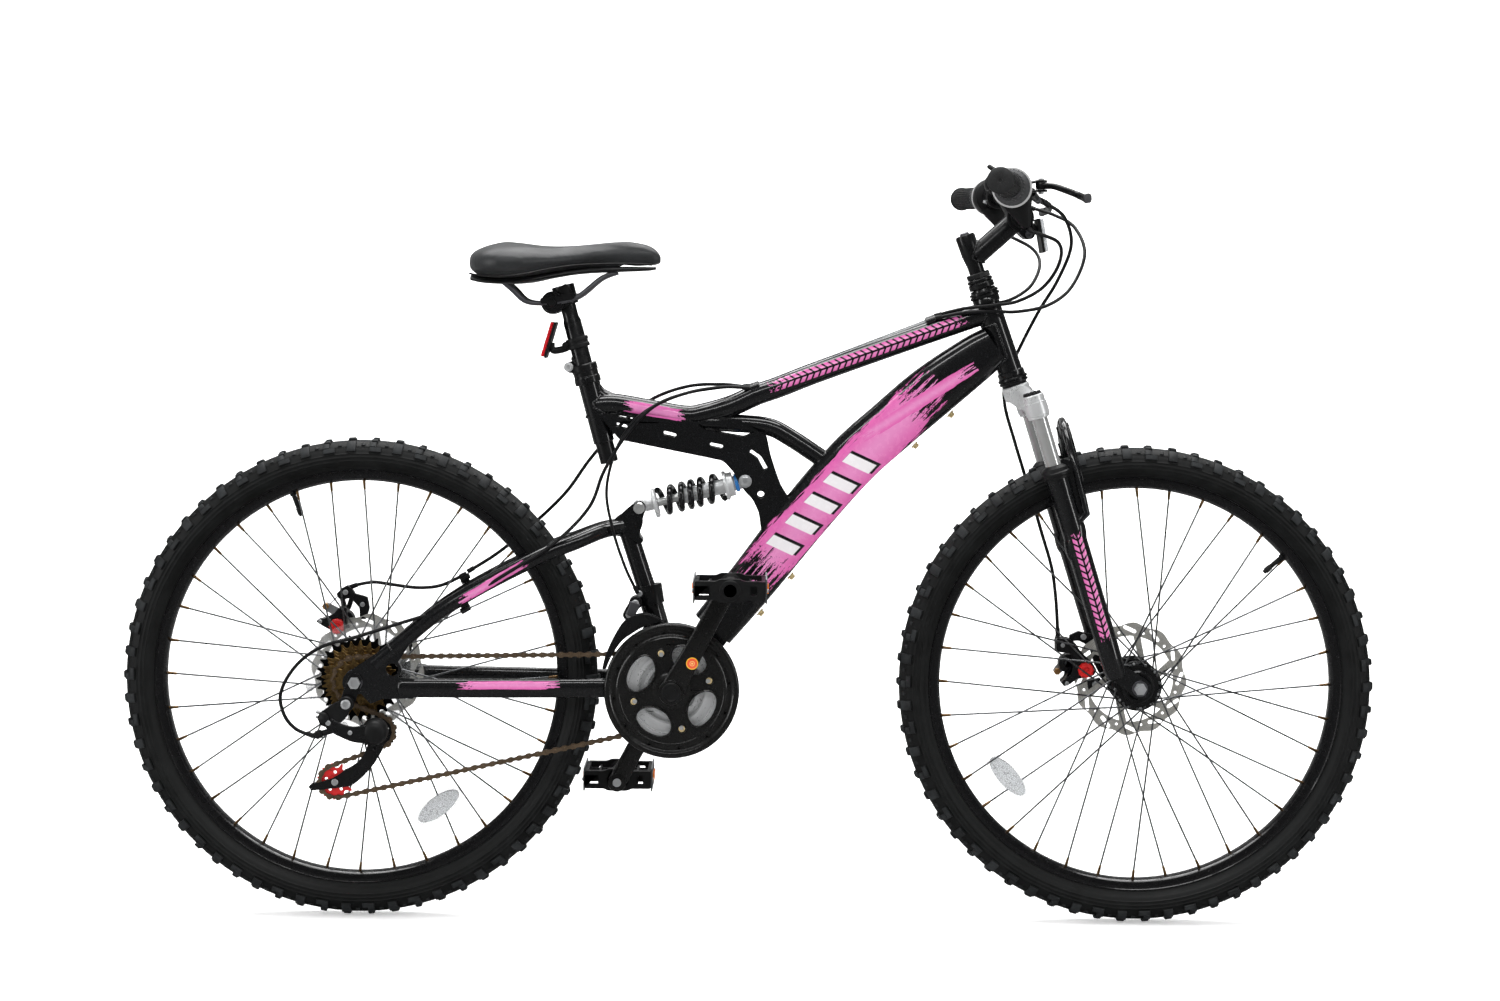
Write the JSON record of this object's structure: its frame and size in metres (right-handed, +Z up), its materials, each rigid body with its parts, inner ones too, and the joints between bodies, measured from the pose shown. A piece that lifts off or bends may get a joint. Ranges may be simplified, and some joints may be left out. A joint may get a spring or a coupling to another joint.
{
  "type": "mountain bike",
  "caption": "Full-suspension mountain bike with a telescopic fork, single-shock swingarm, derailleur gears, disc brakes, knobbly tyres and a riser handlebar.",
  "frame": {"origin": "on the ground, midway between the two tyre contact points, in the bicycle's middle plane", "axes": "+X forward, +Y to the rider's left, +Z up; the drive side is -Y"},
  "size_m": [1.7396, 0.6422, 1.0488],
  "materials": {
    "frame_paint": "gloss black paint with magenta graphics",
    "fork_paint": "gloss black paint",
    "black_parts": "satin black",
    "chrome": "polished",
    "bright_alloy": "satin",
    "steel": "zinc plated",
    "brass": "yellow zinc plated",
    "tyre": "moulded rubber",
    "rim_black": "anodised black",
    "spoke_steel": "bright",
    "rotor_steel": "ground",
    "chain_steel": "brown plated",
    "cog_steel": "brown plated",
    "guard_plastic": "moulded",
    "black_plastic": "moulded",
    "red_plastic": "moulded",
    "grip_rubber": "ribbed",
    "saddle_vinyl": "smooth vinyl over foam",
    "cable_black": "sleeved cable",
    "spring_black": "powder coated",
    "reflector_clear": "prismatic",
    "reflector_red": "prismatic"
  },
  "bodies": {
    "frame": {"main_frame": "frame_paint", "headset_cups": "black_parts", "frame_bolts": "brass", "seat_collar": "black_parts", "rear_cables": "cable_black"},
    "steering": {"fork_upper": "chrome", "quill_stem": "black_parts", "handlebar": "black_parts", "grips": "grip_rubber", "brake_perches": "black_parts", "shifter_housings": "black_plastic", "front_reflector": "reflector_clear", "bell": "black_parts", "front_cables": "cable_black"},
    "fork_lower": {"fork_lowers": "fork_paint", "front_caliper": "black_parts", "front_axle": "steel"},
    "front_wheel": {"front_tyre": "tyre", "front_rim": "rim_black", "front_spokes": "spoke_steel", "front_hub": "rim_black", "front_rotor": "rotor_steel"},
    "swingarm": {"swingarm": "frame_paint", "bottom_bracket_cups": "steel", "rear_axle": "steel", "rear_caliper": "black_parts", "rear_derailleur": "black_parts", "front_derailleur": "black_parts", "chain": "chain_steel"},
    "crankset": {"crank_spindle": "steel", "crank_arms": "black_parts", "chainrings": "bright_alloy", "chain_guard": "guard_plastic", "pedal_axles": "steel"},
    "right_pedal": {"right_pedal": "black_plastic"},
    "left_pedal": {"left_pedal": "black_plastic"},
    "sprockets": {"sprockets": "cog_steel"},
    "rear_wheel": {"rear_tyre": "tyre", "rear_rim": "rim_black", "rear_spokes": "spoke_steel", "rear_hub": "bright_alloy", "rear_rotor": "rotor_steel"},
    "derailleur_cage": {"derailleur_cage": "black_parts"},
    "upper_pulley": {"upper_pulley": "black_plastic"},
    "lower_pulley": {"lower_pulley": "red_plastic"},
    "front_derailleur_cage": {"front_derailleur_cage": "black_parts"},
    "right_brake_lever": {"right_brake_lever": "black_parts"},
    "left_brake_lever": {"left_brake_lever": "black_parts"},
    "right_shifter": {"right_shifter": "grip_rubber"},
    "left_shifter": {"left_shifter": "grip_rubber"},
    "bell_lever": {"bell_lever": "black_parts"},
    "seatpost": {"seatpost": "black_parts", "saddle_rails": "black_parts", "saddle": "saddle_vinyl", "rear_reflector": "reflector_red"},
    "shock_body": {"shock_body": "bright_alloy", "shock_spring": "spring_black"},
    "shock_shaft": {"shock_shaft": "chrome"},
    "front_caliper_arm": {"front_caliper_arm": "black_parts"},
    "rear_caliper_arm": {"rear_caliper_arm": "black_parts"}
  },
  "joints": [
    {"name": "steering", "type": "hinge", "parent": "frame", "child": "steering", "pos_m": [0.325, 0, 0.868], "axis": [-0.3276, 0, 0.9448], "range_deg": [-45, 45], "deforming": ["front_cables"]},
    {"name": "fork_travel", "type": "slide", "parent": "steering", "child": "fork_lower", "axis": [-0.2957, 0, 0.9553], "range_m": [0, 0.05], "stiffness_N_per_m": 9000, "springref_m": -0.01, "deforming": ["front_cables"]},
    {"name": "front_wheel_spin", "type": "hinge", "parent": "fork_lower", "child": "front_wheel", "pos_m": [0.5378, 0, 0.332], "axis": [0, 1, 0], "continuous": true},
    {"name": "swingarm_pivot", "type": "hinge", "parent": "frame", "child": "swingarm", "pos_m": [-0.072, 0, 0.362], "axis": [0, 1, 0], "range_deg": [0, 7], "stiffness_Nm_per_rad": 4000, "springref_deg": -1.15, "deforming": ["rear_cables"]},
    {"name": "shock_pivot", "type": "hinge", "parent": "frame", "child": "shock_body", "pos_m": [-0.007, 0, 0.6086], "axis": [0, 1, 0], "range_deg": [0, 0.8]},
    {"name": "shock_stroke", "type": "slide", "parent": "shock_body", "child": "shock_shaft", "axis": [0.9672, 0, 0.2541], "range_m": [0, 0.028], "deforming": ["shock_spring"]},
    {"name": "crank_spin", "type": "hinge", "parent": "swingarm", "child": "crankset", "pos_m": [-0.1051, 0, 0.3235], "axis": [0, 1, 0], "continuous": true, "deforming": ["chain"]},
    {"name": "right_pedal_spin", "type": "hinge", "parent": "crankset", "child": "right_pedal", "pos_m": [-0.02529, -0.13, 0.4736], "axis": [0, 1, 0], "continuous": true},
    {"name": "left_pedal_spin", "type": "hinge", "parent": "crankset", "child": "left_pedal", "pos_m": [-0.18491, 0.13, 0.1734], "axis": [0, 1, 0], "continuous": true},
    {"name": "sprocket_spin", "type": "hinge", "parent": "swingarm", "child": "sprockets", "pos_m": [-0.5378, -0.04, 0.332], "axis": [0, 1, 0], "continuous": true},
    {"name": "rear_wheel_spin", "type": "hinge", "parent": "swingarm", "child": "rear_wheel", "pos_m": [-0.5378, 0, 0.332], "axis": [0, 1, 0], "continuous": true},
    {"name": "derailleur_cage_pivot", "type": "hinge", "parent": "swingarm", "child": "derailleur_cage", "pos_m": [-0.508, -0.052, 0.262], "axis": [0, 1, 0], "range_deg": [-8, 8], "deforming": ["chain"]},
    {"name": "upper_pulley_spin", "type": "hinge", "parent": "derailleur_cage", "child": "upper_pulley", "pos_m": [-0.508, -0.052, 0.262], "axis": [0, 1, 0], "continuous": true},
    {"name": "lower_pulley_spin", "type": "hinge", "parent": "derailleur_cage", "child": "lower_pulley", "pos_m": [-0.56585, -0.052, 0.19306], "axis": [0, 1, 0], "continuous": true},
    {"name": "front_derailleur_shift", "type": "slide", "parent": "swingarm", "child": "front_derailleur_cage", "axis": [0, -1, 0], "range_m": [0, 0.012], "deforming": ["chain"]},
    {"name": "right_brake_lever", "type": "hinge", "parent": "steering", "child": "right_brake_lever", "pos_m": [0.386, -0.142, 1.017], "axis": [0, 0, -1], "range_deg": [0, 18]},
    {"name": "left_brake_lever", "type": "hinge", "parent": "steering", "child": "left_brake_lever", "pos_m": [0.386, 0.142, 1.017], "axis": [0, 0, 1], "range_deg": [0, 18]},
    {"name": "front_caliper_arm", "type": "hinge", "parent": "fork_lower", "child": "front_caliper_arm", "pos_m": [0.451, 0.06, 0.352], "axis": [0, 1, 0], "range_deg": [0, 22]},
    {"name": "rear_caliper_arm", "type": "hinge", "parent": "swingarm", "child": "rear_caliper_arm", "pos_m": [-0.572, 0.07, 0.402], "axis": [0, 1, 0], "range_deg": [0, 22]},
    {"name": "right_shifter", "type": "hinge", "parent": "steering", "child": "right_shifter", "pos_m": [0.338, -0.2, 1.014], "axis": [-0.1961, -0.9804, 0.0187], "range_deg": [-100, 20]},
    {"name": "left_shifter", "type": "hinge", "parent": "steering", "child": "left_shifter", "pos_m": [0.338, 0.2, 1.014], "axis": [-0.1961, 0.9804, 0.0187], "range_deg": [0, 60]},
    {"name": "bell_lever", "type": "hinge", "parent": "steering", "child": "bell_lever", "pos_m": [0.335, -0.07, 1.025], "axis": [-0.5, 0, 0.866], "range_deg": [0, 25]},
    {"name": "seatpost_height", "type": "slide", "parent": "frame", "child": "seatpost", "axis": [-0.2665, 0, 0.9638], "range_m": [-0.015, 0.06], "stiffness_N_per_m": 20000}
  ],
  "couplings": [
    {"joint": "shock_pivot", "follows": "swingarm_pivot", "ratio": 0.1},
    {"joint": "shock_stroke", "follows": "swingarm_pivot", "m_per_rad": 0.2235},
    {"joint": "sprocket_spin", "follows": "crank_spin", "ratio": 1.5},
    {"joint": "upper_pulley_spin", "follows": "crank_spin", "ratio": -2.1818},
    {"joint": "lower_pulley_spin", "follows": "crank_spin", "ratio": 2.1818},
    {"joint": "front_derailleur_shift", "follows": "left_shifter", "m_per_rad": 0.01145},
    {"joint": "front_caliper_arm", "follows": "right_brake_lever", "ratio": 1.2},
    {"joint": "rear_caliper_arm", "follows": "left_brake_lever", "ratio": 1.2}
  ]
}
